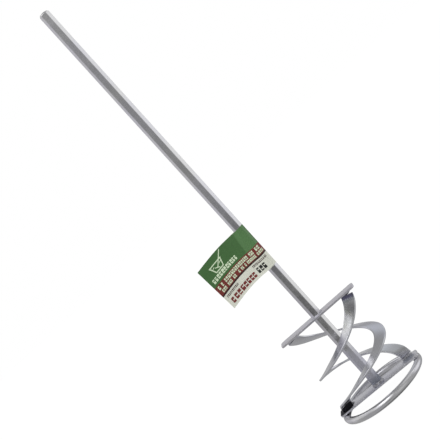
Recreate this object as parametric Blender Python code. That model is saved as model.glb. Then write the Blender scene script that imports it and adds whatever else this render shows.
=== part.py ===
"""Mortar mixing paddle: a hexagonal shaft, a short helical mixing head and a folded paper label.

Each sub-part is one object. Units are metres and +Z is up. The origin is the centre of the shank's
end face, the shaft runs down from it, and the lower bar of the head lies along X.
"""

import math

import bmesh
import bpy
from mathutils import Vector

MM = 0.001

# Driving dimensions
OVERALL_LENGTH = 400 * MM  # shank end face to the underside of the ring
HEAD_DIAMETER = 80 * MM  # over the ring
HEX_FLATS = 8 * MM
HEX_TURN = math.radians(5)  # a corner of the hexagon, from +X
SHANK_CHAMFER = 0.8 * MM
CLEARANCE = 0.3 * MM  # between pieces that touch

RING_WIRE = 6.2 * MM
UPPER_BAR = Vector((74.8, 14.9, 1.5)) * MM  # length, width, thickness
LOWER_BAR = Vector((79.2, 15.5, 1.5)) * MM
BAR_CORNER = 3 * MM
UPPER_BAR_TOP = 81.9 * MM  # above the underside of the ring
BAR_LEAD = math.radians(4.7)  # the upper bar is welded on slightly turned from the lower one

STRIP_WIDTH = 10.2 * MM
STRIP_THICKNESS = 1.6 * MM
STRIP_START = math.radians(8.5)  # ahead of the upper bar's centre line
STRIP_TURN = math.radians(344)
STRIP_TOP_HEIGHT = 78.4 * MM  # centre of the strip's ends, above the underside of the ring
STRIP_FOOT_HEIGHT = 9.1 * MM
# Each strip falls faster at its ends than half way down (first number) and faster at its top than
# at its foot (second), towards the height in millimetres (third) that it would reach without its foot
STRIP_A_COURSE = Vector((0.33, 0.175, 11.5))
STRIP_B_COURSE = Vector((0.32, 0.25, 13.75))
STRIP_FOOT_BEND = 0.045  # share of the length that is bent down to the lower bar
STRIP_TOP_RADIUS = 28.7 * MM
STRIP_FOOT_RADIUS = 31.3 * MM
STRIP_WAIST = 1.5 * MM  # how much nearer the shaft it passes half way down
STRIP_DROOP_TOP = math.radians(15)  # the outer edge hangs lower than the inner edge
STRIP_DROOP_FOOT = math.radians(-4)
STRIP_DROOP_MIDDLE = math.radians(8)

LABEL_TOP = 175.3 * MM  # at the fold, above the underside of the ring
LABEL_HEIGHT = 41.5 * MM  # at the free edge
LABEL_TAPER = 1.2 * MM  # less at the fold
LABEL_LENGTH = 57.9 * MM  # fold to free edge
LABEL_PAPER = 0.25 * MM
LABEL_JOINT = 13 * MM  # shaft axis to where the two leaves meet
LABEL_TURN = math.radians(166.5)  # direction of the flag, from +X
LABEL_TILT = math.tan(math.radians(6.8))  # the free edge sits lower than the fold
LABEL_SLANT = 3.3 * MM  # the free edge's lower corner is nearer the shaft
LABEL_BULGE = 4 * MM  # the flag is curled away from a straight line
LABEL_BOW = 1.3 * MM  # and its edges rise between the shaft and the free edge

STRIP_STATIONS = 96
RING_STATIONS = 72
RING_SIDES = 16  # a multiple of four plus half a step keeps a level face under the wire
ARC_STATIONS = 10
BEAD_SIDES = 6

# Derived places: heights are from the shank's end face, so they are negative
FLOOR = -OVERALL_LENGTH
UPPER_BAR_Z = FLOOR + UPPER_BAR_TOP
LOWER_BAR_Z = FLOOR + RING_WIRE + CLEARANCE + LOWER_BAR.z
RING_RADIUS = (HEAD_DIAMETER - RING_WIRE) / 2
HEX_CORNER = HEX_FLATS / math.sqrt(3)


def clear_scene():
    for old in list(bpy.data.objects):
        bpy.data.objects.remove(old)


def material(name, color, roughness, metallic):
    made = bpy.data.materials.new(name)
    made.use_nodes = True
    shader = made.node_tree.nodes["Principled BSDF"]
    shader.inputs["Base Color"].default_value = (*color, 1)
    shader.inputs["Roughness"].default_value = roughness
    shader.inputs["Metallic"].default_value = metallic
    return made


def add_object(name, bm, look, smooth_angle=None):
    bmesh.ops.recalc_face_normals(bm, faces=bm.faces)
    mesh = bpy.data.meshes.new(name)
    bm.to_mesh(mesh)
    bm.free()
    mesh.materials.append(look)
    if smooth_angle is not None:
        mesh.shade_smooth()
        mesh.set_sharp_from_angle(angle=math.radians(smooth_angle))
    made = bpy.data.objects.new(name, mesh)
    bpy.context.scene.collection.objects.link(made)
    return made


def around(angle, radius, z=0.0):
    return Vector((radius * math.cos(angle), radius * math.sin(angle), z))


def loft(bm, rings, closed=False):
    """Joins rings of equally many points with faces, and caps the ends unless the loft is closed."""
    loops = [[bm.verts.new(point) for point in ring] for ring in rings]
    count = len(loops[0])
    pairs = list(zip(loops, loops[1:] + loops[:1]))
    for first, second in pairs if closed else pairs[:-1]:
        for i in range(count):
            j = (i + 1) % count
            bm.faces.new((first[i], first[j], second[j], second[i]))
    if not closed:
        bm.faces.new(loops[0])
        bm.faces.new(loops[-1])


def hexagon(flats, z):
    corner = flats / math.sqrt(3)
    return [around(HEX_TURN + k * math.pi / 3, corner, z) for k in range(6)]


def hex_shaft(look):
    bottom = LOWER_BAR_Z + CLEARANCE
    small = HEX_FLATS - 2 * SHANK_CHAMFER
    bm = bmesh.new()
    loft(bm, [hexagon(HEX_FLATS, bottom), hexagon(HEX_FLATS, -SHANK_CHAMFER), hexagon(small, 0.0)])
    return add_object("hex_shaft", bm, look)


def bar_outline(size, turn):
    """Plan outline of a flat bar with rounded corners, turned about the shaft."""
    points = []
    for k in range(4):
        middle = math.pi / 4 + k * math.pi / 2
        centre_x = math.copysign(size.x / 2 - BAR_CORNER, math.cos(middle))
        centre_y = math.copysign(size.y / 2 - BAR_CORNER, math.sin(middle))
        for step in range(5):
            angle = k * math.pi / 2 + step * math.pi / 8
            x = centre_x + BAR_CORNER * math.cos(angle)
            y = centre_y + BAR_CORNER * math.sin(angle)
            points.append(around(math.atan2(y, x) + turn, math.hypot(x, y)))
    return points


def flat_bar(name, size, top, turn, look):
    plan = bar_outline(size, turn)
    bm = bmesh.new()
    loft(bm, [[p + Vector((0, 0, z)) for p in plan] for z in (top - size.z, top)])
    return add_object(name, bm, look)


def cut_shaft_hole(bar, z):
    """The shaft goes through the upper bar in a hole of its own shape."""
    bm = bmesh.new()
    loft(bm, [hexagon(HEX_FLATS + 2 * CLEARANCE, z + side * UPPER_BAR.z * 2) for side in (-1, 1)])
    cutter = add_object("shaft_hole_cutter", bm, bar.data.materials[0])
    cutter.hide_render = True
    cutter.display_type = "WIRE"
    cut = bar.modifiers.new("Shaft hole", "BOOLEAN")
    cut.operation = "DIFFERENCE"
    cut.object = cutter


def base_ring(look):
    wire = RING_WIRE / 2
    reach = wire / math.cos(math.pi / RING_SIDES)
    rings = []
    for k in range(RING_STATIONS):
        angle = 2 * math.pi * k / RING_STATIONS
        ring = []
        for side in range(RING_SIDES):
            turn = 2 * math.pi * (side + 0.5) / RING_SIDES
            height = wire + reach * math.sin(turn)
            ring.append(around(angle, RING_RADIUS + reach * math.cos(turn), FLOOR + height))
        rings.append(ring)
    bm = bmesh.new()
    loft(bm, rings, closed=True)
    return add_object("base_ring", bm, look, smooth_angle=60)


def strip_centre(part, start, course):
    """A point of the strip's centre line, from its top end (part 0) to its foot (part 1)."""
    angle = start - STRIP_START - STRIP_TURN * part
    fall = part + course.x * math.sin(2 * math.pi * part) / (2 * math.pi)
    fall += course.y * math.sin(math.pi * part) / math.pi
    run_out = course.z * MM
    bend = max(0.0, 1 - (1 - part) / STRIP_FOOT_BEND)
    height = STRIP_TOP_HEIGHT + (run_out - STRIP_TOP_HEIGHT) * fall
    height -= (run_out - STRIP_FOOT_HEIGHT) * bend * bend
    radius = STRIP_TOP_RADIUS + (STRIP_FOOT_RADIUS - STRIP_TOP_RADIUS) * part
    radius -= STRIP_WAIST * math.sin(math.pi * part)
    return around(angle, radius, FLOOR + height)


def strip_frame(part, start, course):
    """Centre, direction across the strip (outwards) and its face normal (upwards) at one station."""
    step = 0.001
    centre = strip_centre(part, start, course)
    after, before = [strip_centre(part + side * step, start, course) for side in (1, -1)]
    along = (after - before).normalized()
    outward = Vector((centre.x, centre.y, 0)).normalized()
    outward = (outward - along * outward.dot(along)).normalized()
    normal = outward.cross(along)
    if normal.z < 0:
        normal.negate()
    droop = STRIP_DROOP_TOP + (STRIP_DROOP_FOOT - STRIP_DROOP_TOP) * part
    droop += STRIP_DROOP_MIDDLE * math.sin(math.pi * part)
    across = outward * math.cos(droop) - normal * math.sin(droop)
    face = normal * math.cos(droop) + outward * math.sin(droop)
    return centre, across, face


def helical_blade(name, start, course, look):
    rings = []
    for k in range(STRIP_STATIONS + 1):
        centre, across, face = strip_frame(k / STRIP_STATIONS, start, course)
        half_width = across * STRIP_WIDTH / 2
        half_thickness = face * STRIP_THICKNESS / 2
        rings.append(
            [
                centre + half_width + half_thickness,
                centre - half_width + half_thickness,
                centre - half_width - half_thickness,
                centre + half_width - half_thickness,
            ]
        )
    bm = bmesh.new()
    loft(bm, rings)
    return add_object(name, bm, look, smooth_angle=40)


def collar_bead(name, foot, width, height, look):
    """A fillet weld round the shaft, standing on a bar."""
    stations = 36
    flat = HEX_FLATS / 2 + CLEARANCE
    profile = ((0, 0), (1, 0), (0.86, 0.3), (0.45, 0.62), (0, 1))
    rings = []
    for k in range(stations):
        angle = 2 * math.pi * k / stations
        from_flat = (angle - HEX_TURN) % (math.pi / 3) - math.pi / 6
        inner = flat / math.cos(from_flat)
        rings.append([around(angle, inner + out * width, foot + up * height) for out, up in profile])
    bm = bmesh.new()
    loft(bm, rings, closed=True)
    return add_object(name, bm, look, smooth_angle=60)


def lump_bead(name, first, last, width, height, down, look):
    """A run of weld metal between two points on a level face, half round, on its upper or lower side."""
    along = last - first
    side = Vector((0, 0, 1)).cross(along).normalized()
    rise = -1 if down else 1
    rings = []
    for k in range(ARC_STATIONS + 1):
        part = k / ARC_STATIONS
        swell = 0.25 + 0.75 * math.sqrt(max(0.0, 1 - (2 * part - 1) ** 2))
        ring = []
        for point in range(BEAD_SIDES + 1):
            angle = math.pi * point / BEAD_SIDES
            offset = side * (swell * width / 2 * math.cos(angle))
            lift = Vector((0, 0, rise * swell * height * math.sin(angle)))
            ring.append(first + along * part + offset + lift)
        rings.append(ring)
    bm = bmesh.new()
    loft(bm, rings)
    return add_object(name, bm, look, smooth_angle=60)


def ring_bead(name, middle, look):
    """A fillet weld in the corner between the ring's inner side and the lower bar's underside."""
    wire = RING_WIRE / 2
    reach = wire + 1.5 * CLEARANCE
    low, high = math.radians(30), math.radians(60)
    profile = [
        (-reach - CLEARANCE, wire),
        (-reach * math.cos(high), wire),
        (-reach * math.cos(low), reach * math.sin(low)),
    ]
    rings = []
    for k in range(ARC_STATIONS + 1):
        angle = middle + math.radians(16) * (k / ARC_STATIONS - 0.5)
        rings.append([around(angle, RING_RADIUS + out, FLOOR + wire + up) for out, up in profile])
    bm = bmesh.new()
    loft(bm, rings)
    return add_object(name, bm, look, smooth_angle=60)


def strip_end_bead(name, part, start, course, bar_face, down, look):
    """Weld metal beside the cut end of a strip, on the face of the bar that it meets."""
    centre = strip_centre(part, start, course)
    outward = Vector((centre.x, centre.y, 0)).normalized()
    beyond = Vector((0, 0, 1)).cross(outward) * (1 if part == 0 else -1)
    width = 3.0 * MM
    gap = 2 * CLEARANCE + part * STRIP_THICKNESS / 2
    middle = Vector((centre.x, centre.y, 0)) + beyond * (width / 2 + gap)
    middle.z = bar_face + (-CLEARANCE if down else CLEARANCE)
    reach = outward * STRIP_WIDTH * 0.38
    return lump_bead(name, middle - reach, middle + reach, width, 1.7 * MM, down, look)


def label_plan():
    """Plan outlines of the label: its outer face round the shaft, then the loop's inner face.

    The flag points along +X here, and is turned to its place afterwards.
    """
    inner = HEX_CORNER + CLEARANCE
    outer = inner + LABEL_PAPER
    free_end = LABEL_LENGTH - outer
    steps = 16
    flag = [LABEL_JOINT + (free_end - LABEL_JOINT) * k / steps for k in range(steps + 1)]
    tangent = math.pi - math.acos(outer / LABEL_JOINT)
    arc = [tangent - tangent * k / 10 for k in range(21)]

    def bend(reach):
        return -LABEL_BULGE * math.sin(math.pi * (reach - LABEL_JOINT) / (free_end - LABEL_JOINT))

    near = [Vector((reach, bend(reach) - LABEL_PAPER)) for reach in reversed(flag)]
    far = [Vector((reach, bend(reach) + LABEL_PAPER)) for reach in flag]
    loop = [Vector((-outer * math.cos(angle), -outer * math.sin(angle))) for angle in arc]
    hole = [Vector((-inner * math.cos(angle), -inner * math.sin(angle))) for angle in arc]
    tip = Vector((LABEL_JOINT - 4 * LABEL_PAPER, 0.0))
    return near, loop, far, [tip] + hole


def label_point(flat, level):
    """Where a point of the plan lies, at a level from the label's upper edge (0) to its lower edge (1)."""
    along = max(flat.x, 0.0) / (LABEL_LENGTH - HEX_CORNER)
    height = LABEL_HEIGHT - LABEL_TAPER * (1 - along)
    z = FLOOR + LABEL_TOP - level * height - LABEL_TILT * (flat.x + HEX_CORNER)
    z += LABEL_BOW * math.sin(math.pi * along)
    reach = flat.x - LABEL_SLANT * level * along
    return around(math.atan2(flat.y, reach) + LABEL_TURN, math.hypot(reach, flat.y), z)


def paper_label(look):
    near, loop, far, hole = label_plan()
    outside = near + loop + far
    levels = 6
    bm = bmesh.new()
    outer_rows, inner_rows = [
        [[bm.verts.new(label_point(flat, k / levels)) for flat in plan] for k in range(levels + 1)]
        for plan in (outside, hole)
    ]
    for rows in (outer_rows, inner_rows):
        for upper, lower in zip(rows, rows[1:]):
            for i in range(len(upper)):
                j = (i + 1) % len(upper)
                bm.faces.new((upper[i], upper[j], lower[j], lower[i]))
    # Each paper edge: the flag, the wedge where the leaves meet, and the loop.
    first = len(near) - 1
    last = len(near) + len(loop)
    for row, inner in ((outer_rows[0], inner_rows[0]), (outer_rows[-1], inner_rows[-1])):
        for i in range(first):
            j = len(outside) - 1 - i
            bm.faces.new((row[i], row[i + 1], row[j - 1], row[j]))
        bm.faces.new((row[first], inner[0], row[last]))
        ring = row[first : last + 1]
        hole_ring = inner + [inner[0]]
        for i in range(len(ring) - 1):
            corners = (ring[i], ring[i + 1], hole_ring[i + 1], hole_ring[i])
            bm.faces.new(list(dict.fromkeys(corners)))
    return add_object("paper_label", bm, look, smooth_angle=50)


def build():
    clear_scene()
    zinc = {"roughness": 0.3, "metallic": 1.0}
    bead = material("weld_metal", (0.42, 0.42, 0.45), 0.5, 1.0)
    hex_shaft(material("shaft_zinc", (0.60, 0.60, 0.64), **zinc))
    upper = flat_bar(
        "top_crossbar",
        UPPER_BAR,
        UPPER_BAR_Z,
        BAR_LEAD,
        material("upper_bar_zinc", (0.68, 0.67, 0.70), **zinc),
    )
    cut_shaft_hole(upper, UPPER_BAR_Z)
    flat_bar(
        "bottom_crossbar",
        LOWER_BAR,
        LOWER_BAR_Z,
        0.0,
        material("lower_bar_zinc", (0.62, 0.62, 0.65), **zinc),
    )
    base_ring(material("ring_zinc", (0.66, 0.66, 0.68), **zinc))
    strip_look = material("blade_zinc", (0.62, 0.63, 0.64), **zinc)
    for letter, side, course in (("a", 0.0, STRIP_A_COURSE), ("b", math.pi, STRIP_B_COURSE)):
        start = BAR_LEAD + side
        under = UPPER_BAR_Z - UPPER_BAR.z
        helical_blade(f"helical_blade_{letter}", start, course, strip_look)
        strip_end_bead(f"weld_blade_{letter}_top", 0, start, course, under, True, bead)
        strip_end_bead(f"weld_blade_{letter}_bottom", 1, start, course, LOWER_BAR_Z, False, bead)
        ring_bead(f"weld_bar_ring_{letter}", side, bead)
    collar_bead("weld_shaft_top", UPPER_BAR_Z + CLEARANCE, 1.0 * MM, 0.8 * MM, bead)
    collar_bead("weld_shaft_bottom", LOWER_BAR_Z + 2 * CLEARANCE, 2.4 * MM, 2.6 * MM, bead)
    paper_label(material("label_paper", (0.72, 0.72, 0.70), 0.6, 0.0))


build()
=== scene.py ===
"""Looks of the mortar mixing paddle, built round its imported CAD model.

Units are metres, in the row frame: the origin is the centre of the shank's end face, the shaft runs
down from it along -Z, and the lower bar of the mixing head lies along X.
"""

import math

import bmesh
import bpy
from mathutils import Matrix, Vector, noise


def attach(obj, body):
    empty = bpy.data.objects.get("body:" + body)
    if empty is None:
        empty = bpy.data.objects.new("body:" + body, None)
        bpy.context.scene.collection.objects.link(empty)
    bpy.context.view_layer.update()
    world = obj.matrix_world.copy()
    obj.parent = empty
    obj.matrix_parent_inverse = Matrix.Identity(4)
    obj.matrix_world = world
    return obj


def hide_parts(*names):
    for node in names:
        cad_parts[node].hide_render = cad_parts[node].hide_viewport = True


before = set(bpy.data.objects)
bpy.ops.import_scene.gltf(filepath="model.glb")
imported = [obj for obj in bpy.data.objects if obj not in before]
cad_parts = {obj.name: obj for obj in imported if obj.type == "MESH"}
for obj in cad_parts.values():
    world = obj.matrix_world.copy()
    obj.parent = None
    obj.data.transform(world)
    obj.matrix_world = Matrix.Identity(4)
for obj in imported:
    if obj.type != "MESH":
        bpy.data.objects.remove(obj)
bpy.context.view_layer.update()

MM = 0.001

# The CAD model's dimensions
OVERALL_LENGTH = 400 * MM
HEX_FLATS = 8 * MM
HEX_TURN = math.radians(5)
CLEARANCE = 0.3 * MM
RING_WIRE = 6.2 * MM
UPPER_BAR = Vector((74.8, 14.9, 1.5)) * MM
LOWER_BAR = Vector((79.2, 15.5, 1.5)) * MM
BAR_CORNER = 3 * MM
UPPER_BAR_TOP = 81.9 * MM
BAR_LEAD = math.radians(4.7)
STRIP_WIDTH = 10.2 * MM
STRIP_THICKNESS = 1.6 * MM
STRIP_START = math.radians(8.5)
STRIP_TURN = math.radians(344)
STRIP_TOP_HEIGHT = 78.4 * MM
STRIP_FOOT_HEIGHT = 9.1 * MM
STRIP_A_COURSE = Vector((0.33, 0.175, 11.5))
STRIP_B_COURSE = Vector((0.32, 0.25, 13.75))
STRIP_FOOT_BEND = 0.045
STRIP_TOP_RADIUS = 28.7 * MM
STRIP_FOOT_RADIUS = 31.3 * MM
STRIP_WAIST = 1.5 * MM
STRIP_DROOP_TOP = math.radians(15)
STRIP_DROOP_FOOT = math.radians(-4)
STRIP_DROOP_MIDDLE = math.radians(8)
LABEL_TOP = 175.3 * MM
LABEL_HEIGHT = 41.5 * MM
LABEL_TAPER = 1.2 * MM
LABEL_LENGTH = 57.9 * MM
LABEL_JOINT = 13 * MM
LABEL_TURN = math.radians(166.5)
LABEL_TILT = math.tan(math.radians(6.8))
LABEL_SLANT = 3.3 * MM
LABEL_BULGE = 4 * MM
LABEL_BOW = 1.3 * MM

FLOOR = -OVERALL_LENGTH
UPPER_BAR_Z = FLOOR + UPPER_BAR_TOP
LOWER_BAR_Z = FLOOR + RING_WIRE + CLEARANCE + LOWER_BAR.z
RING_RADIUS = 40 * MM - RING_WIRE / 2
HEX_CORNER = HEX_FLATS / math.sqrt(3)

# Finish of the visual pieces
HEX_ROUND = 0.45 * MM  # the drawn bar's corners
SHANK_FACE = 3.15 * MM  # radius of the shank's end face inside its turned chamfer
SHANK_EDGE = Vector((0.35, 0.25)) * MM  # how far the face's rounded edge reaches out and down
CHAMFER_SLOPE = 0.95
STRIP_WELD_WIDTH = 3.0 * MM
STRIP_WELD_HEIGHT = 1.9 * MM
HEAT_HEIGHT = 46 * MM  # how far up from the floor welding heat has dulled the shaft
PAPER = 0.16 * MM
PAPER_GAP = 0.09 * MM  # half the gap between the label's two leaves

UP = Vector((0, 0, 1))


def around(angle, radius, z=0.0):
    return Vector((radius * math.cos(angle), radius * math.sin(angle), z))


def linear(*srgb):
    """A colour given as 0 to 255 sRGB values, as linear RGBA."""
    values = [c / 255 for c in srgb]
    return (*(c / 12.92 if c <= 0.04045 else ((c + 0.055) / 1.055) ** 2.4 for c in values), 1)


# ---------------------------------------------------------------- camera, stage and light

# The photograph's viewpoint: the camera's place, its lens in millimetres, and its axes, which are
# picture right, picture up, and from the object to the camera
VIEW_PLACE = Vector((0.14407, -0.8341, -0.15801))
VIEW_LENS = 88.27
VIEW_RIGHT = Vector((0.73619, 0.09014, -0.67074))
VIEW_UP = Vector((0.65322, 0.16456, 0.73907))
VIEW_BACK = VIEW_RIGHT.cross(VIEW_UP).normalized()


def add_camera():
    data = bpy.data.cameras.new("camera")
    data.lens = VIEW_LENS
    data.sensor_width = 36
    data.clip_start = 0.01
    camera = bpy.data.objects.new("camera", data)
    axes = Matrix([VIEW_RIGHT, VIEW_UP, VIEW_BACK]).transposed()
    camera.matrix_world = Matrix.Translation(VIEW_PLACE) @ axes.to_4x4()
    bpy.context.scene.collection.objects.link(camera)
    bpy.context.scene.camera = camera


def seen(turn, lean):
    """Unit vector leaning away from the camera's direction by lean degrees, towards the picture
    direction turn, counted anticlockwise from picture right."""
    side = VIEW_RIGHT * math.cos(math.radians(turn)) + VIEW_UP * math.sin(math.radians(turn))
    return VIEW_BACK * math.cos(math.radians(lean)) + side * math.sin(math.radians(lean))


STUDIO_BASE = 0.38  # brightness of the surround between its soft areas
DIFFUSE_GAIN = 1.9  # how much more of the surround diffuse light gets than mirrored light
WHITE, LAVENDER, SKY = (1.0, 1.0, 1.0), (0.92, 0.88, 1.0), (0.8, 0.88, 1.0)
# Soft areas of the surround that the metal mirrors, brighter like a softbox or darker like a card:
# turn and lean of the middle, radii where it is full and gone (all in degrees), brightness added, tint
STUDIO = (
    (147, 60, 10, 20, 1.10, WHITE),  # the key light
    (146, 71, 3, 10, 0.25, WHITE),
    (116, 64, 6, 20, -0.16, WHITE),
    (162, 44, 10, 35, 0.50, WHITE),
    (156, 116, 5, 14, 0.42, WHITE),
    (178, 100, 15, 40, 0.28, WHITE),
    (142, 98, 8, 16, -0.22, WHITE),
    (128, 120, 8, 20, -0.06, WHITE),
    (120, 95, 4, 12, -0.15, WHITE),
    (46, 104, 12, 32, 0.50, WHITE),
    (42, 32, 8, 26, 0.17, WHITE),
    (90, 85, 10, 35, 0.20, WHITE),
    (216, 128, 10, 32, 0.20, LAVENDER),
    (130, 165, 3, 16, 0.23, WHITE),
    (106, 133, 4, 14, 0.24, SKY),
    (118, 118, 3, 10, 0.16, SKY),
    (165, 36, 3, 9, 0.60, WHITE),
    (79, 94, 2, 8, 0.75, WHITE),
    (238, 130, 3, 11, -0.18, WHITE),
    (225, 14, 6, 22, -0.10, WHITE),
    (276, 15, 1, 8, -0.14, WHITE),
    (284, 20, 2, 7, -0.17, WHITE),
    (-45, 90, 15, 38, -0.20, WHITE),
    (-25, 112, 6, 24, -0.14, WHITE),
)


class Nodes:
    """Short calls for building a node tree."""

    def __init__(self, tree):
        self.tree = tree
        tree.nodes.clear()

    def add(self, kind, **settings):
        node = self.tree.nodes.new(kind)
        inputs = settings.pop("inputs", {})
        for name, value in settings.items():
            setattr(node, name, value)
        for name, value in inputs.items():
            if isinstance(value, bpy.types.NodeSocket):
                self.tree.links.new(value, node.inputs[name])
            else:
                node.inputs[name].default_value = value
        return node

    def math(self, operation, *values, clamp=False):
        made = self.add("ShaderNodeMath", operation=operation, use_clamp=clamp)
        self.feed(made, values)
        return made.outputs[0]

    def vector(self, operation, *values, output="Vector", scale=None):
        made = self.add("ShaderNodeVectorMath", operation=operation)
        self.feed(made, values)
        if scale is not None:
            self.feed_one(made.inputs["Scale"], scale)
        return made.outputs[output]

    def feed(self, node, values):
        for socket, value in zip(node.inputs, values):
            self.feed_one(socket, value)

    def feed_one(self, socket, value):
        if isinstance(value, bpy.types.NodeSocket):
            self.tree.links.new(value, socket)
        else:
            socket.default_value = value

    def ramp(self, value, low, high, to_low=0.0, to_high=1.0, smooth=True):
        made = self.add(
            "ShaderNodeMapRange",
            interpolation_type="SMOOTHSTEP" if smooth else "LINEAR",
            inputs={
                "Value": value,
                "From Min": low,
                "From Max": high,
                "To Min": to_low,
                "To Max": to_high,
            },
        )
        return made.outputs["Result"]

    def noise(self, vector, scale, detail=2.0, roughness=0.5, distortion=0.0):
        made = self.add(
            "ShaderNodeTexNoise",
            inputs={
                "Vector": vector,
                "Scale": scale,
                "Detail": detail,
                "Roughness": roughness,
                "Distortion": distortion,
            },
        )
        return made.outputs["Fac"]

    def mix(self, factor, first, second, blend="MIX"):
        made = self.add("ShaderNodeMix", data_type="RGBA", blend_type=blend)
        self.feed_one(made.inputs[0], factor)
        self.feed_one(made.inputs[6], first)
        self.feed_one(made.inputs[7], second)
        return made.outputs[2]

    def scaled(self, vector, *scale):
        return self.vector("MULTIPLY", vector, scale)

    def bump(self, height, distance, strength=1.0, normal=None):
        made = self.add(
            "ShaderNodeBump", inputs={"Height": height, "Distance": distance, "Strength": strength}
        )
        if normal is not None:
            self.tree.links.new(normal, made.inputs["Normal"])
        return made.outputs["Normal"]


def light_studio():
    world = bpy.data.worlds.new("studio")
    bpy.context.scene.world = world
    world.use_nodes = True
    n = Nodes(world.node_tree)
    way = n.add("ShaderNodeTexCoord").outputs["Generated"]
    color = (STUDIO_BASE, STUDIO_BASE, STUDIO_BASE)
    for turn, lean, inner, outer, gain, tint in STUDIO:
        facing = n.vector("DOT_PRODUCT", way, seen(turn, lean), output="Value")
        level = n.ramp(facing, math.cos(math.radians(outer)), math.cos(math.radians(inner)))
        glow = n.vector("SCALE", tuple(c * gain for c in tint), scale=level)
        color = n.vector("ADD", color, glow)
    path = n.add("ShaderNodeLightPath")
    surround = n.mix(path.outputs["Is Camera Ray"], color, (1, 1, 1, 1))
    strength = n.ramp(path.outputs["Is Diffuse Ray"], 0, 1, 1.0, DIFFUSE_GAIN, smooth=False)
    background = n.add("ShaderNodeBackground", inputs={"Color": surround, "Strength": strength})
    output = n.add("ShaderNodeOutputWorld")
    world.node_tree.links.new(background.outputs[0], output.inputs["Surface"])


def lay_floor():
    bm = bmesh.new()
    bmesh.ops.create_circle(bm, cap_ends=True, radius=6, segments=64)
    mesh = bpy.data.meshes.new("floor")
    bm.to_mesh(mesh)
    bm.free()
    look = bpy.data.materials.new("floor_white")
    look.use_nodes = True
    shader = look.node_tree.nodes["Principled BSDF"]
    shader.inputs["Base Color"].default_value = (0.06, 0.06, 0.06, 1)
    shader.inputs["Roughness"].default_value = 1.0
    shader.inputs["Specular IOR Level"].default_value = 0.0
    shader.inputs["Emission Color"].default_value = (1, 1, 1, 1)
    shader.inputs["Emission Strength"].default_value = 0.97
    mesh.materials.append(look)
    floor = bpy.data.objects.new("floor", mesh)
    floor.location.z = FLOOR - 0.2 * MM
    floor.visible_glossy = False
    floor.visible_diffuse = False
    bpy.context.scene.collection.objects.link(floor)


# ---------------------------------------------------------------- materials

ZINC_BLUE = (0.955, 0.955, 1.0, 1)
HEATED = (0.68, 0.68, 0.77, 1)
# Painted reflection: dark to pale along a strip's first stretch, for the upper bar's underside mirrored
# in it
REFLECTION_DARK, REFLECTION_PALE = (0.46, 0.46, 0.56, 1), (0.64, 0.67, 0.71, 1)
# Near-black painted shade, for the recesses round strip b's foot and inside the ring there
SHADE_BLACK = (0.035, 0.035, 0.045, 1)
# A darker grey for patches at the shaft's foot and beside strip a's foot weld
DARK_GREY_PATCH = (0.44, 0.46, 0.53, 1)


def finish_material(n, made, color, roughness, normal, metallic=1.0):
    shader = n.add("ShaderNodeBsdfPrincipled")
    shader.inputs["Metallic"].default_value = metallic
    n.feed_one(shader.inputs["Base Color"], color)
    n.feed_one(shader.inputs["Roughness"], roughness)
    if normal is not None:
        n.feed_one(shader.inputs["Normal"], normal)
    output = n.add("ShaderNodeOutputMaterial")
    made.node_tree.links.new(shader.outputs[0], output.inputs["Surface"])
    return made


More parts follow.
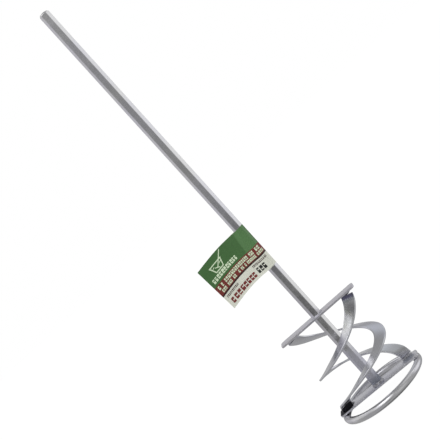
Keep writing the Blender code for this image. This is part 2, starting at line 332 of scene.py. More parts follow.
def zinc(
    name, light, dark, roughness, seed, marks=1.0, blotches=1.0, dulled=None, tab=None, dark_patches=()
):
    """Bright zinc plate over drawn steel. UVs run along the stock and across it, in centimetres.

    marks and blotches scale the drawing marks and the spangle. dulled is a height below which welding
    heat has left the plate greyer and rougher. tab is a length at the stock's beginning
    that is painted dark, paling along it: a painted reflection of the bar above.
    dark_patches lists patches painted darker: centre, radius, softness of the rim, colour, and the
    direction that a darkened surface faces, or None for all of them. The near-black ones are painted
    shade and painted dark reflections.
    """
    made = bpy.data.materials.new(name)
    made.use_nodes = True
    n = Nodes(made.node_tree)
    coordinates = n.add("ShaderNodeTexCoord")
    place = n.vector("ADD", coordinates.outputs["Object"], (seed, seed * 0.7, seed * 0.3))
    stock = n.vector("ADD", coordinates.outputs["UV"], (seed * 10, seed * 3, 0))

    cloud = n.noise(place, 55, detail=4, roughness=0.6, distortion=0.6)
    spangle = n.noise(place, 420, detail=3, roughness=0.65)
    drawn = n.noise(n.scaled(stock, 0.55, 34, 1), 1.0, detail=3, roughness=0.7)
    hairline = n.noise(n.scaled(stock, 1.3, 160, 1), 1.0, detail=1)

    color = n.mix(n.ramp(cloud, 0.36, 0.66), dark, light)
    bloom = n.noise(place, 24, detail=2, distortion=0.4)
    color = n.mix(n.ramp(bloom, 0.40, 0.62), color, n.mix(1.0, color, ZINC_BLUE, "MULTIPLY"))
    shade = n.ramp(spangle, 0.3, 0.72, 1 - 0.035 * blotches, 1 + 0.02 * blotches)
    shade = n.math("MULTIPLY", shade, n.ramp(drawn, 0.3, 0.7, 1 - 0.04 * marks, 1 + 0.02 * marks))
    color = n.vector("SCALE", color, scale=shade)

    rough = n.ramp(cloud, 0.3, 0.7, roughness * 0.85, roughness * 1.2)
    rough = n.math("ADD", rough, n.ramp(spangle, 0.35, 0.75, -0.01, 0.02))
    rough = n.math("ADD", rough, n.ramp(hairline, 0.45, 0.75, 0.0, 0.03 * marks))
    if dulled is not None:
        height = n.add("ShaderNodeSeparateXYZ", inputs={"Vector": coordinates.outputs["Object"]})
        ragged = n.math("ADD", height.outputs["Z"], n.ramp(cloud, 0.2, 0.8, -8 * MM, 8 * MM))
        heat = n.ramp(ragged, dulled + 6 * MM, dulled - 6 * MM)
        rough = n.math("ADD", rough, n.math("MULTIPLY", heat, 0.24))
        color = n.mix(n.math("MULTIPLY", heat, 0.8), color, HEATED)
    # Painted reflection: the stock's first stretch is painted dark, paling along it, for the bar above
    # mirrored in it
    if tab is not None:
        along = n.add("ShaderNodeSeparateXYZ", inputs={"Vector": coordinates.outputs["UV"]})
        reach = n.math("MULTIPLY", along.outputs["X"], 0.01)
        tint = n.mix(n.ramp(reach, tab * 0.2, tab * 0.9), REFLECTION_DARK, REFLECTION_PALE)
        color = n.mix(n.ramp(reach, tab + 0.2 * MM, tab - 0.2 * MM), color, tint)
    # Patches painted darker; the near-black ones are painted shade and painted dark reflections
    for centre, radius, soft, patch_color, facing in dark_patches:
        gap = n.vector("DISTANCE", coordinates.outputs["Object"], centre, output="Value")
        gap = n.math("ADD", gap, n.ramp(cloud, 0.2, 0.8, -1.2 * MM, 1.2 * MM))
        patch_mask = n.ramp(gap, radius + soft, radius - soft)
        if facing is not None:
            towards = n.vector(
                "DOT_PRODUCT", n.add("ShaderNodeNewGeometry").outputs["Normal"], facing, output="Value"
            )
            patch_mask = n.math("MULTIPLY", patch_mask, n.ramp(towards, 0.1, 0.5))
        color = n.mix(patch_mask, color, patch_color)
        rough = n.math("ADD", rough, n.math("MULTIPLY", patch_mask, 0.25))

    normal = n.bump(n.noise(place, 110, detail=1), 0.05 * MM, 0.1 + 0.3 * marks)
    normal = n.bump(drawn, 0.002 * MM, 0.5 * marks, normal)
    normal = n.bump(n.noise(place, 1200, detail=1), 0.0008 * MM, 0.4 * blotches, normal)
    return finish_material(n, made, color, rough, normal)


def weld_metal(name, seed, dark, light, lumps=1.0):
    """Weld metal under the plate: dull and mottled, between a dark and a light grey."""
    made = bpy.data.materials.new(name)
    made.use_nodes = True
    n = Nodes(made.node_tree)
    place = n.vector("ADD", n.add("ShaderNodeTexCoord").outputs["Object"], (seed, 0, seed))
    cloud = n.noise(place, 190, detail=4, roughness=0.6, distortion=0.8)
    grit = n.noise(place, 1500, detail=3, roughness=0.7)
    tints = [(shade, shade, shade * 1.08, 1) for shade in (dark, light)]
    color = n.mix(n.ramp(cloud, 0.34, 0.66), *tints)
    color = n.vector("SCALE", color, scale=n.ramp(grit, 0.25, 0.75, 0.85, 1.08))
    rough = n.ramp(cloud, 0.35, 0.65, 0.62, 0.44)
    normal = n.bump(n.noise(place, 600, detail=3), 0.06 * MM, 0.7 * lumps)
    normal = n.bump(grit, 0.015 * MM, 0.6 * lumps, normal)
    return finish_material(n, made, color, rough, normal)


# ---------------------------------------------------------------- mesh helpers


def add_piece(name, bm, looks, nodes, smooth_angle=30):
    bmesh.ops.recalc_face_normals(bm, faces=bm.faces)
    mesh = bpy.data.meshes.new(name)
    bm.to_mesh(mesh)
    bm.free()
    for look in looks:
        mesh.materials.append(look)
    mesh.shade_smooth()
    mesh.set_sharp_from_angle(angle=math.radians(smooth_angle))
    piece = bpy.data.objects.new(name, mesh)
    bpy.context.scene.collection.objects.link(piece)
    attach(piece, "root")
    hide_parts(*nodes)
    return piece


def loft(bm, rings, closed=False, lengths=None):
    """Joins rings of equally many points, caps the ends unless closed, and writes the UVs: distance
    along the loft and round the section, in centimetres."""
    uv = bm.loops.layers.uv.verify()
    loops = [[bm.verts.new(point) for point in ring] for ring in rings]
    count = len(rings[0])
    if lengths is None:
        lengths = [0.0]
        for first, second in zip(rings, rings[1:]):
            middles = [sum(ring, Vector()) / count for ring in (first, second)]
            lengths.append(lengths[-1] + (middles[1] - middles[0]).length)
        if closed:
            lengths.append(lengths[-1] + lengths[1])
    girth = [0.0]
    for i in range(count):
        girth.append(girth[-1] + (rings[0][(i + 1) % count] - rings[0][i]).length)
    rows = list(range(len(rings))) + ([0] if closed else [])
    for k in range(len(rows) - 1):
        first, second = loops[rows[k]], loops[rows[k + 1]]
        for i in range(count):
            j = (i + 1) % count
            face = bm.faces.new((first[i], first[j], second[j], second[i]))
            for corner, at, round_to in zip(face.loops, (k, k, k + 1, k + 1), (i, i + 1, i + 1, i)):
                corner[uv].uv = (lengths[at] * 100, girth[round_to] * 100)
    if not closed:
        for ring in (loops[0], loops[-1]):
            face = bm.faces.new(ring)
            for corner in face.loops:
                corner[uv].uv = (corner.vert.co.x * 100, corner.vert.co.y * 100)


def rough_up(bm, amount, size, seed):
    """Moves each vertex along its normal by fractal noise, for lumpy weld metal."""
    bm.normal_update()
    shift = Vector((seed, seed * 1.7, seed * 0.3))
    moves = [
        v.normal * (amount * noise.fractal(v.co / size + shift, 0.7, 2.0, 4)) for v in bm.verts
    ]
    for vert, move in zip(bm.verts, moves):
        vert.co += move


# ---------------------------------------------------------------- shaft


def hex_outline(flats, corner_round, across=7):
    """Hexagon with rounded corners, as points on each corner's arc and along each flat."""
    half = flats / 2
    centre = (half - corner_round) / math.cos(math.pi / 6)
    points = []
    for k in range(6):
        middle = HEX_TURN + k * math.pi / 3
        heart = around(middle, centre)
        for step in range(5):
            points.append(heart + around(middle + (step / 4 - 0.5) * math.pi / 3, corner_round))
        after = around(HEX_TURN + (k + 1) * math.pi / 3, centre)
        normal = middle + math.pi / 6
        first, last = heart + around(normal, corner_round), after + around(normal, corner_round)
        for step in range(1, across):
            part = step / across
            # Closer together near the corners
            part -= 0.09 * math.sin(2 * math.pi * part)
            points.append(first.lerp(last, part))
    return points


def shaft(look):
    outline = hex_outline(HEX_FLATS, HEX_ROUND)
    bottom = LOWER_BAR_Z + CLEARANCE
    levels = [bottom + (-3 * MM - bottom) * k / 40 for k in range(41)]
    levels += [-2.2 * MM, -1.7 * MM, -1.4 * MM, -1.2 * MM, -1.0 * MM, -0.8 * MM, -0.6 * MM]
    levels += [-0.4 * MM, -0.25 * MM, -0.12 * MM, -0.04 * MM, 0.0]
    rings = []
    for z in levels:
        cone = SHANK_FACE + SHANK_EDGE.x * min(1, -z / SHANK_EDGE.y) ** 0.6
        cone += CHAMFER_SLOPE * max(0, -z - SHANK_EDGE.y)
        rings.append([point.normalized() * min(point.length, cone) + UP * z for point in outline])
    bm = bmesh.new()
    loft(bm, rings)
    return add_piece("shaft", bm, [look], ["hex_shaft"], smooth_angle=32)


# ---------------------------------------------------------------- flat bars


def flat_bar(name, size, top, turn, hole, look, node):
    """Flat bar with rounded plan corners and softened edges, with the shaft's hole if hole is set."""
    outline = []
    for k in range(4):
        middle = math.pi / 4 + k * math.pi / 2
        heart = Vector((size.x / 2 - BAR_CORNER, size.y / 2 - BAR_CORNER, 0))
        heart.x = math.copysign(heart.x, math.cos(middle))
        heart.y = math.copysign(heart.y, math.sin(middle))
        for step in range(9):
            outline.append(heart + around(k * math.pi / 2 + step * math.pi / 16, BAR_CORNER))
    spin = Matrix.Rotation(turn, 4, "Z")
    lift = Matrix.Translation((0, 0, top))
    bm = bmesh.new()
    loops = [[spin @ point for point in outline]]
    if hole:
        loops.append(hex_outline(HEX_FLATS + 2 * CLEARANCE, HEX_ROUND, across=2))
    edges = []
    for points in loops:
        verts = [bm.verts.new(lift @ point) for point in points]
        edges += [bm.edges.new((a, b)) for a, b in zip(verts, verts[1:] + verts[:1])]
    bmesh.ops.triangle_fill(bm, edges=edges, use_beauty=True)
    made = bmesh.ops.extrude_face_region(bm, geom=bm.faces[:])
    for item in made["geom"]:
        if isinstance(item, bmesh.types.BMVert):
            item.co.z -= size.z
    bmesh.ops.recalc_face_normals(bm, faces=bm.faces)
    rims = [e for e in bm.edges if e.is_manifold and e.calc_face_angle() > math.radians(50)]
    bmesh.ops.bevel(
        bm, geom=rims, offset=0.35 * MM, segments=3, profile=0.5, affect="EDGES", clamp_overlap=True
    )
    back = Matrix.Rotation(-turn, 4, "Z")
    uv = bm.loops.layers.uv.verify()
    for face in bm.faces:
        for corner in face.loops:
            flat = back @ corner.vert.co
            corner[uv].uv = (flat.x * 100, (flat.y + flat.z) * 100)
    return add_piece(name, bm, [look], [node], smooth_angle=35)


# ---------------------------------------------------------------- ring


def foot_ring(look):
    stations, sides = 220, 36
    wire = RING_WIRE / 2
    rings, lengths = [], []
    for k in range(stations):
        angle = 2 * math.pi * k / stations
        ring = []
        for side in range(sides):
            turn = 2 * math.pi * side / sides
            out, up = wire * math.cos(turn), wire * math.sin(turn)
            ring.append(around(angle, RING_RADIUS + out, FLOOR + wire + up))
        rings.append(ring)
        lengths.append(angle * RING_RADIUS)
    lengths.append(2 * math.pi * RING_RADIUS)
    bm = bmesh.new()
    loft(bm, rings, closed=True, lengths=lengths)
    return add_piece("foot_ring", bm, [look], ["base_ring"])


# ---------------------------------------------------------------- helical strips


def strip_centre(part, start, course):
    angle = start - STRIP_START - STRIP_TURN * part
    fall = part + course.x * math.sin(2 * math.pi * part) / (2 * math.pi)
    fall += course.y * math.sin(math.pi * part) / math.pi
    run_out = course.z * MM
    bend = max(0.0, 1 - (1 - part) / STRIP_FOOT_BEND)
    height = STRIP_TOP_HEIGHT + (run_out - STRIP_TOP_HEIGHT) * fall
    height -= (run_out - STRIP_FOOT_HEIGHT) * bend * bend
    radius = STRIP_TOP_RADIUS + (STRIP_FOOT_RADIUS - STRIP_TOP_RADIUS) * part
    radius -= STRIP_WAIST * math.sin(math.pi * part)
    return around(angle, radius, FLOOR + height)


def strip_frame(part, start, course):
    """Centre of the strip, direction across it (outwards) and its face normal (upwards)."""
    step = 0.001
    centre = strip_centre(part, start, course)
    after, before = [strip_centre(part + side * step, start, course) for side in (1, -1)]
    along = (after - before).normalized()
    outward = Vector((centre.x, centre.y, 0)).normalized()
    outward = (outward - along * outward.dot(along)).normalized()
    normal = outward.cross(along)
    if normal.z < 0:
        normal.negate()
    droop = STRIP_DROOP_TOP + (STRIP_DROOP_FOOT - STRIP_DROOP_TOP) * part
    droop += STRIP_DROOP_MIDDLE * math.sin(math.pi * part)
    across = outward * math.cos(droop) - normal * math.sin(droop)
    face = normal * math.cos(droop) + outward * math.sin(droop)
    return centre, across, face


def strip_section():
    """Section of the strip as (across, up) pairs: rolled flat stock with softened corners."""
    corner = 0.4 * MM
    half_width, half_thickness = STRIP_WIDTH / 2, STRIP_THICKNESS / 2
    points = []
    for k, (sx, sy) in enumerate(((1, 1), (-1, 1), (-1, -1), (1, -1))):
        for step in range(5):
            angle = k * math.pi / 2 + step * math.pi / 8
            across = sx * (half_width - corner) + corner * math.cos(angle)
            up = sy * (half_thickness - corner) + corner * math.sin(angle)
            points.append((across, up))
        if k % 2 == 0:
            for step in range(1, 10):
                side = -sx * (step / 5 - 1) * (half_width - corner) * 0.98
                points.append((side, sy * half_thickness))
    return points


def strip(name, start, course, look, node):
    section = strip_section()
    stations = 260
    rings = []
    for k in range(stations + 1):
        centre, across, face = strip_frame(k / stations, start, course)
        rings.append([centre + across * out + face * up for out, up in section])
    bm = bmesh.new()
    loft(bm, rings)
    return add_piece(name, bm, [look], [node], smooth_angle=40)


# ---------------------------------------------------------------- welds


def collar_weld(name, foot, width, height, look, node, seed):
    """A fillet of weld metal round the shaft, standing on a bar, with the ripples of its passes."""
    stations, levels = 120, 12
    flat = HEX_FLATS / 2 + 0.02 * MM
    rings = []
    for k in range(stations):
        angle = 2 * math.pi * k / stations
        from_flat = (angle - HEX_TURN) % (math.pi / 3) - math.pi / 6
        inner = flat / math.cos(from_flat)
        swell = 1 + 0.12 * noise.noise(around(angle, 1.6, seed)) + 0.04 * math.sin(17 * angle + seed)
        ring = [around(angle, inner, foot), around(angle, inner + width * swell, foot)]
        for level in range(1, levels):
            turn = math.pi / 2 * level / levels
            out = width * swell * (1 - math.sin(turn)) ** 0.8
            up = height * swell * math.sin(turn) ** 1.1
            ring.append(around(angle, inner + out, foot + up))
        ring.append(around(angle, inner, foot + height * swell))
        rings.append(ring)
    bm = bmesh.new()
    loft(bm, rings, closed=True)
    rough_up(bm, 0.06 * MM, 1.4 * MM, seed)
    return add_piece(name, bm, [look], [node], smooth_angle=80)


def bead_weld(name, first, last, width, height, down, look, node, seed):
    """A run of weld metal on a level face between two points, with overlapping ripples."""
    along = last - first
    side = UP.cross(along).normalized()
    rise = -1 if down else 1
    stations, sides = 48, 16
    rings = []
    for k in range(stations + 1):
        part = k / stations
        swell = 0.12 + 0.88 * math.sqrt(max(0.0, 1 - (2 * part - 1) ** 2))
        swell *= 1 + 0.07 * math.sin(part * 34 + seed)
        ring = []
        for point in range(sides + 1):
            angle = math.pi * point / sides
            offset = side * (swell * width / 2 * math.cos(angle))
            lift = UP * (rise * swell * height * math.sin(angle))
            ring.append(first + along * part + offset + lift)
        rings.append(ring)
    bm = bmesh.new()
    loft(bm, rings)
    rough_up(bm, 0.14 * MM, 1.2 * MM, seed)
    return add_piece(name, bm, [look], [node], smooth_angle=80)


def strip_end_weld(name, part, start, course, bar_face, down, look, node, seed):
    """The bead at the strip's beginning (part 0) or foot (part 1), just beyond its cut end."""
    centre = strip_centre(part, start, course)
    outward = Vector((centre.x, centre.y, 0)).normalized()
    beyond = UP.cross(outward) * (1 if part == 0 else -1)
    gap = CLEARANCE + part * STRIP_THICKNESS / 4
    middle = Vector((centre.x, centre.y, 0)) + beyond * (STRIP_WELD_WIDTH / 2 + gap)
    middle.z = bar_face
    reach = outward * STRIP_WIDTH * 0.40
    size = (STRIP_WELD_WIDTH * 1.1, STRIP_WELD_HEIGHT)
    return bead_weld(name, middle - reach, middle + reach, *size, down, look, node, seed)


def ring_weld(name, middle, look, node, seed):
    """A fillet in the corner between the ring's inner side and the lower bar's underside."""
    wire = RING_WIRE / 2
    rings = []
    for k in range(41):
        angle = middle + math.radians(17) * (k / 40 - 0.5)
        swell = 1 + 0.12 * math.sin(k * 1.1 + seed)
        swell *= math.sqrt(max(0.05, 1 - (k / 20 - 1) ** 2))
        ring = []
        for low in (20, 30, 40, 50, 60, 68):
            turn = math.radians(low)
            ring.append((-wire * 0.98 * math.cos(turn), wire * 0.98 * math.sin(turn)))
        top = wire + CLEARANCE
        out = -wire * math.cos(math.radians(20)) - 1.1 * MM * swell
        for inwards, down in ((0.9, 0.0), (0.2, 0.1), (0.35, 1.1)):
            ring.append((out + inwards * MM, top - down * MM))
        rings.append([around(angle, RING_RADIUS + x, FLOOR + wire + y) for x, y in ring])
    bm = bmesh.new()
    loft(bm, rings)
    rough_up(bm, 0.08 * MM, 1.2 * MM, seed)
    return add_piece(name, bm, [look], [node], smooth_angle=80)


# ---------------------------------------------------------------- folded paper label


def rounded_path(points, cuts):
    """The polyline with each inner corner replaced by a smooth curve starting cut before it."""
    path = [points[0]]
    for before, corner, after, cut in zip(points, points[1:], points[2:], cuts):
        first = corner + (before - corner).normalized() * cut
        last = corner + (after - corner).normalized() * cut
        for step in range(9):
            part = step / 8
            path.append(first.lerp(corner, part).lerp(corner.lerp(last, part), part))
    path.append(points[-1])
    return path


def resampled(path, spacing):
    """Points along a path at about equal distances."""
    lengths = [0.0]
    for first, second in zip(path, path[1:]):
        lengths.append(lengths[-1] + (second - first).length)
    count = round(lengths[-1] / spacing)
    made, k = [], 0
    for step in range(count + 1):
        target = lengths[-1] * step / count
        while k < len(path) - 2 and lengths[k + 1] < target:
            k += 1
        span = max(lengths[k + 1] - lengths[k], 1e-9)
        made.append(path[k].lerp(path[k + 1], min(1.0, (target - lengths[k]) / span)))
    return made


def label_path():
    """Plan of the paper's outer face, from one free edge round the shaft to the other. The flag points
    along +X here, and +Y is the side that the photograph shows."""
    free_end = LABEL_LENGTH - HEX_CORNER - 0.6 * MM

    def bend(reach):
        return -LABEL_BULGE * math.sin(math.pi * (reach - LABEL_JOINT) / (free_end - LABEL_JOINT))

    leaf = [LABEL_JOINT + (free_end - LABEL_JOINT) * k / 60 for k in range(61)]
    half = PAPER_GAP + PAPER
    front = [Vector((reach, bend(reach) + half)) for reach in reversed(leaf)]
    back = [Vector((reach, bend(reach) - half)) for reach in leaf]
    wrap = []
    for k in (4, 5, 6, 7):
        angle = HEX_TURN - LABEL_TURN + k * math.pi / 3
        reach = HEX_CORNER + 0.28 * MM
        wrap.append(Vector((reach * math.cos(angle), reach * math.sin(angle))))
    corners = [front[-2], front[-1], *wrap, back[0], back[1]]
    cuts = [0.5 * MM, 1.6 * MM, 1.1 * MM, 1.1 * MM, 1.6 * MM, 0.5 * MM]
    middle = rounded_path(corners, cuts)
    path = front[:-2] + middle + back[2:]
    return resampled(path, 0.55 * MM)


def label_point(flat, level):
    along = max(flat.x, 0.0) / (LABEL_LENGTH - HEX_CORNER)
    height = LABEL_HEIGHT - LABEL_TAPER * (1 - along)
    z = FLOOR + LABEL_TOP - level * height - LABEL_TILT * (flat.x + HEX_CORNER)
    z += LABEL_BOW * math.sin(math.pi * along)
    reach = flat.x - LABEL_SLANT * level * along
    return around(math.atan2(flat.y, reach) + LABEL_TURN, math.hypot(reach, flat.y), z)


def label(printed, plain):
    outer = label_path()
    inner = []
    for k, point in enumerate(outer):
        before, after = outer[max(k - 1, 0)], outer[min(k + 1, len(outer) - 1)]
        tangent = (after - before).normalized()
        # The path runs with the shaft on its left, so the paper's inner face is on that side
        inner.append(point + Vector((-tangent.y, tangent.x)) * PAPER)
    lengths = [0.0]
    for first, second in zip(outer, outer[1:]):
        lengths.append(lengths[-1] + (second - first).length)
    levels = 40
    bm = bmesh.new()
    uv = bm.loops.layers.uv.verify()
    sheets = []
    for path in (outer, inner):
        sheets.append(
            [[bm.verts.new(label_point(p, k / levels)) for p in path] for k in range(levels + 1)]
        )
    last = len(outer) - 1

    def face(corners, places, material):
        made = bm.faces.new(corners)
        made.material_index = material
        for corner, (along, level) in zip(made.loops, places):
            corner[uv].uv = (lengths[along] / lengths[-1], level / levels)

    for side, rows in enumerate(sheets):
        for k in range(levels):
            for i in range(last):
                corners = (rows[k][i], rows[k][i + 1], rows[k + 1][i + 1], rows[k + 1][i])
                face(corners, ((i, k), (i + 1, k), (i + 1, k + 1), (i, k + 1)), side)
    front, back = sheets
    for k in (0, levels):
        for i in range(last):
            corners = (front[k][i], front[k][i + 1], back[k][i + 1], back[k][i])
            face(corners, ((i, k), (i + 1, k), (i + 1, k), (i, k)), 1)
    for i in (0, last):
        for k in range(levels):
            corners = (front[k][i], front[k + 1][i], back[k + 1][i], back[k][i])
            face(corners, ((i, k), (i, k + 1), (i, k + 1), (i, k)), 1)
    return add_piece(
        "folded_label", bm, [printed, plain], ["paper_label"], smooth_angle=50
    )


def paper_white(name):
    made = bpy.data.materials.new(name)
    made.use_nodes = True
    n = Nodes(made.node_tree)
    place = n.add("ShaderNodeTexCoord").outputs["Object"]
    fibre = n.noise(place, 900, detail=4, roughness=0.7)
    color = n.mix(fibre, (0.62, 0.61, 0.56, 1), (0.78, 0.77, 0.73, 1))
    return finish_material(n, made, color, n.ramp(fibre, 0.2, 0.8, 0.7, 0.9), None, metallic=0.0)


LEAF_LENGTH = LABEL_LENGTH / MM


def label_print(name):
    """The printed face. The print is drawn in units of about a millimetre, the same on both leaves:
    s runs from a leaf's first edge, which is the free edge on the side seen in the photograph, and t
    runs down from the upper edge."""
    made = bpy.data.materials.new(name)
    made.use_nodes = True
    n = Nodes(made.node_tree)
    coordinates = n.add("ShaderNodeTexCoord")
    split = n.add("ShaderNodeSeparateXYZ", inputs={"Vector": coordinates.outputs["UV"]})
    whole = n.math("MULTIPLY", split.outputs["X"], 2 * LEAF_LENGTH)
    t = n.math("MULTIPLY", split.outputs["Y"], LABEL_HEIGHT / MM)
    is_back = n.math("GREATER_THAN", whole, LEAF_LENGTH)
    s = n.math("SUBTRACT", whole, n.math("MULTIPLY", is_back, LEAF_LENGTH))
    place = n.add("ShaderNodeCombineXYZ", inputs={"X": s, "Y": t}).outputs["Vector"]

    def between(value, low, high):
        return n.math(
            "MULTIPLY", n.math("GREATER_THAN", value, low), n.math("LESS_THAN", value, high)
        )

    def union(masks):
        total = masks[0]
        for mask in masks[1:]:
            total = n.math("MAXIMUM", total, mask)
        return total

    def stroke(first, last, half_width):
        """Mask of a straight stroke between two points of the print."""
        a, b = Vector((*first, 0)), Vector((*last, 0))
        offset = n.vector("SUBTRACT", place, a)
        run = n.vector("DOT_PRODUCT", offset, (b - a) / (b - a).length_squared, output="Value")
        run = n.math("ADD", run, 0.0, clamp=True)
        nearest = n.vector("SCALE", b - a, scale=run)
        gap = n.vector("LENGTH", n.vector("SUBTRACT", offset, nearest), output="Value")
        return n.math("LESS_THAN", gap, half_width)

    def block_row(start, end, top, bottom, pitch, seed, spaces=0.16):
        """Mask of a row of small upright blocks in word-like groups, which stands for a line of print."""
        inside = n.math("MULTIPLY", between(s, start, end), between(t, top, bottom))
        step = n.math("DIVIDE", n.math("SUBTRACT", s, start), pitch)
        cell = n.math("FLOOR", step)
        within = n.math("FRACT", step)
        dice = n.add(
            "ShaderNodeTexWhiteNoise",
            noise_dimensions="1D",
            inputs={"W": n.math("ADD", cell, seed)},
        )
        chance = dice.outputs["Value"]
        parts = n.add("ShaderNodeSeparateColor", inputs={"Color": dice.outputs["Color"]})
        full = n.math("LESS_THAN", within, n.ramp(parts.outputs["Red"], 0, 1, 0.66, 0.86, False))
        drawn = n.math("GREATER_THAN", chance, spaces)
        # A slot in the block, high, low or through its middle, so that it reads as fine print
        high, low = top * 0.7 + bottom * 0.3, top * 0.3 + bottom * 0.7
        middle = n.ramp(parts.outputs["Green"], 0, 1, high, low)
        slot_gap = n.math("ABSOLUTE", n.math("SUBTRACT", t, middle))
        slit = n.math("LESS_THAN", slot_gap, (bottom - top) * 0.09)
        side = n.math("GREATER_THAN", within, n.ramp(parts.outputs["Blue"], 0, 1, 0.1, 0.3, False))
        hole = n.math("MULTIPLY", slit, side)
        solid = n.math("SUBTRACT", 1.0, hole)
        return n.math("MULTIPLY", n.math("MULTIPLY", inside, full), n.math("MULTIPLY", drawn, solid))

    # Bands down the label, and painted light: the green is paler near the fold, where side light falls on
    # the paper
    cream = linear(214, 216, 203)
    side_lit_near_fold = n.math("ADD", s, n.math("MULTIPLY", t, 0.15))
    green = n.mix(n.ramp(side_lit_near_fold, 45, 47), linear(62, 105, 52), linear(80, 122, 70))
    color = n.mix(n.math("GREATER_THAN", t, 19.3), green, linear(116, 38, 30))
    color = n.mix(n.math("GREATER_THAN", t, 27.7), color, linear(52, 24, 20))
    color = n.mix(n.math("GREATER_THAN", t, 29.0), color, cream)

    # Generic pictogram: a bucket and a stirring rod
    icon = union(
        [
            stroke((8.0, 6.2), (21.5, 6.2), 0.42),
            stroke((8.4, 6.4), (10.6, 12.4), 0.42),
            stroke((21.1, 6.4), (18.9, 12.4), 0.42),
            stroke((10.6, 12.4), (18.9, 12.4), 0.42),
            stroke((14.2, 10.4), (25.2, 1.3), 0.40),
            stroke((12.3, 9.2), (15.6, 11.2), 0.32),
            stroke((9.8, 8.6), (12.0, 8.0), 0.24),
            stroke((17.6, 8.8), (20.0, 8.2), 0.24),
        ]
    )
    pale = n.math("MULTIPLY", icon, n.math("SUBTRACT", 1.0, is_back))
    pale = n.math("MAXIMUM", pale, block_row(3.0, 32.5, 13.6, 17.3, 2.75, 11, spaces=0.0))
    pale = n.math("MAXIMUM", pale, block_row(2.4, 57.2, 20.2, 23.4, 2.05, 37))
    pale = n.math("MAXIMUM", pale, block_row(3.4, 57.2, 24.4, 27.0, 1.75, 53))
    color = n.mix(pale, color, linear(205, 222, 190))
    dark_red = block_row(3.2, 36.0, 34.4, 39.2, 4.1, 71, spaces=0.0)
    color = n.mix(dark_red, color, linear(118, 36, 34))
    black = block_row(38.6, 51.2, 33.8, 38.8, 4.2, 83, spaces=0.0)
    color = n.mix(black, color, linear(28, 28, 28))
    small = n.math(
        "MAXIMUM",
        block_row(2.8, 16.5, 30.4, 32.4, 1.3, 97, spaces=0.0),
        block_row(37.5, 55.0, 30.2, 32.2, 1.3, 101, spaces=0.0),
    )
    color = n.mix(small, color, linear(78, 62, 58))

    # Ink, paper grain and handling
    grain = n.noise(coordinates.outputs["Object"], 1300, detail=3, roughness=0.7)
    cloud = n.noise(coordinates.outputs["Object"], 90, detail=3)
    color = n.vector("SCALE", color, scale=n.ramp(grain, 0.2, 0.8, 0.93, 1.05))
    color = n.vector("SCALE", color, scale=n.ramp(cloud, 0.3, 0.7, 0.96, 1.04))
    rough = n.math("ADD", n.ramp(cloud, 0.3, 0.7, 0.36, 0.46), n.ramp(grain, 0.3, 0.7, 0.0, 0.06))
    normal = n.bump(n.noise(coordinates.outputs["Object"], 160, detail=2), 0.05 * MM, 0.5)
    normal = n.bump(grain, 0.008 * MM, 0.5, normal)
    return finish_material(n, made, color, rough, normal, metallic=0.0)


# ---------------------------------------------------------------- the whole scene


def shaft_zinc():
    # The shaft is painted a darker grey just above the lower bar
    foot = (Vector((0, 0, LOWER_BAR_Z)), 9 * MM, 4 * MM, DARK_GREY_PATCH, None)
    light, dark = (0.83, 0.83, 0.84, 1), (0.78, 0.78, 0.79, 1)
    return zinc("shaft_zinc", light, dark, 0.2, 1.3, dulled=FLOOR + HEAT_HEIGHT, dark_patches=(foot,))


def upper_bar_zinc():
    return zinc("upper_bar_zinc", (0.83, 0.81, 0.85, 1), (0.78, 0.77, 0.81, 1), 0.3, 2.9)


def lower_bar_zinc():
    # Painted shade: near-black on the bar's top face under strip b's foot
    under_b = (Vector((-34.5 * MM, 0, LOWER_BAR_Z)), 9.2 * MM, 1.3 * MM, SHADE_BLACK, UP)
    # A darker grey patch on the bar's top face beside strip a's foot weld
    before_a = (Vector((31 * MM, -1 * MM, LOWER_BAR_Z)), 5 * MM, 2.5 * MM, DARK_GREY_PATCH, UP)
    light, dark = (0.80, 0.80, 0.84, 1), (0.74, 0.74, 0.79, 1)
    return zinc("lower_bar_zinc", light, dark, 0.3, 4.1, dark_patches=(under_b, before_a))


def ring_zinc():
    # Painted shade: near-black on the ring's inner side under the lower bar's end, on strip b's side
    middle = Vector((0.9 * MM - RING_RADIUS, -1 * MM, FLOOR + 3.4 * MM))
    inside = (middle, 8 * MM, 0.5 * MM, SHADE_BLACK, Vector((1, 0, 0)))
    light, dark = (0.84, 0.84, 0.85, 1), (0.77, 0.77, 0.79, 1)
    return zinc("ring_zinc", light, dark, 0.22, 5.7, dark_patches=(inside,))


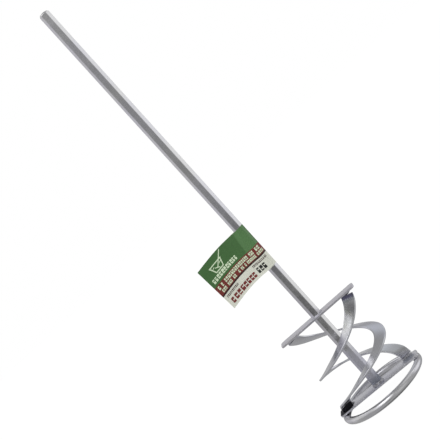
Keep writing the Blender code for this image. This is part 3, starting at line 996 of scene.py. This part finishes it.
def strip_zincs():
    """The two strips' looks: a has a painted dark reflection at its beginning and b has painted shade
    under its foot.
    """
    foot_b = strip_centre(1, BAR_LEAD + math.pi, STRIP_B_COURSE)
    # Painted shade: near-black on the underside of strip b's foot
    under_foot = (foot_b, 8.4 * MM, 0.4 * MM, SHADE_BLACK, -UP)
    light, dark = (0.83, 0.84, 0.86, 1), (0.77, 0.77, 0.80, 1)
    plate = {"light": light, "dark": dark, "roughness": 0.2, "marks": 0.15, "blotches": 0.3}
    return (
        zinc("strip_a_zinc", seed=7.3, tab=7.6 * MM, **plate),
        zinc("strip_b_zinc", seed=8.9, dark_patches=(under_foot,), **plate),
    )


def build():
    bpy.context.scene.view_settings.view_transform = "Standard"
    add_camera()
    light_studio()
    lay_floor()

    shaft(shaft_zinc())
    flat_bar("upper_bar", UPPER_BAR, UPPER_BAR_Z, BAR_LEAD, True, upper_bar_zinc(), "top_crossbar")
    flat_bar("lower_bar", LOWER_BAR, LOWER_BAR_Z, 0.0, False, lower_bar_zinc(), "bottom_crossbar")
    foot_ring(ring_zinc())

    bead = weld_metal("weld_bead", 1.9, 0.30, 0.52)
    # Painted shade: near-black weld metal at strip b's foot and at the ring weld on that side
    shade_black_bead = weld_metal("shade_black_bead", 4.6, 0.03, 0.06)
    strip_a, strip_b = strip_zincs()
    sides = (
        ("a", 0.0, STRIP_A_COURSE, strip_a, bead),
        ("b", math.pi, STRIP_B_COURSE, strip_b, shade_black_bead),
    )
    for index, (letter, side, course, look, foot_look) in enumerate(sides):
        line = (BAR_LEAD + side, course)
        strip(f"strip_{letter}", *line, look, f"helical_blade_{letter}")
        under = (UPPER_BAR_Z - UPPER_BAR.z, True, bead)
        top_node, foot_node = f"weld_blade_{letter}_top", f"weld_blade_{letter}_bottom"
        strip_end_weld(f"strip_{letter}_top_weld", 0, *line, *under, top_node, 2.0 + index)
        over = (LOWER_BAR_Z, False, foot_look)
        strip_end_weld(f"strip_{letter}_foot_weld", 1, *line, *over, foot_node, 5.0 + index)
        ring_weld(f"ring_weld_{letter}", side, foot_look, f"weld_bar_ring_{letter}", 8.0 + index)

    plated = weld_metal("plated_weld", 5.2, 0.66, 0.78, lumps=0.2)
    greyed = weld_metal("shaft_weld", 7.7, 0.40, 0.50, lumps=0.2)
    for place, z, width, height, look, seed in (
        ("top", UPPER_BAR_Z, 0.9 * MM, 0.7 * MM, plated, 3.0),
        ("bottom", LOWER_BAR_Z, 1.1 * MM, 1.8 * MM, greyed, 6.0),
    ):
        collar_weld(f"shaft_weld_{place}", z, width, height, look, f"weld_shaft_{place}", seed)

    label(label_print("label_print"), paper_white("label_back"))


build()
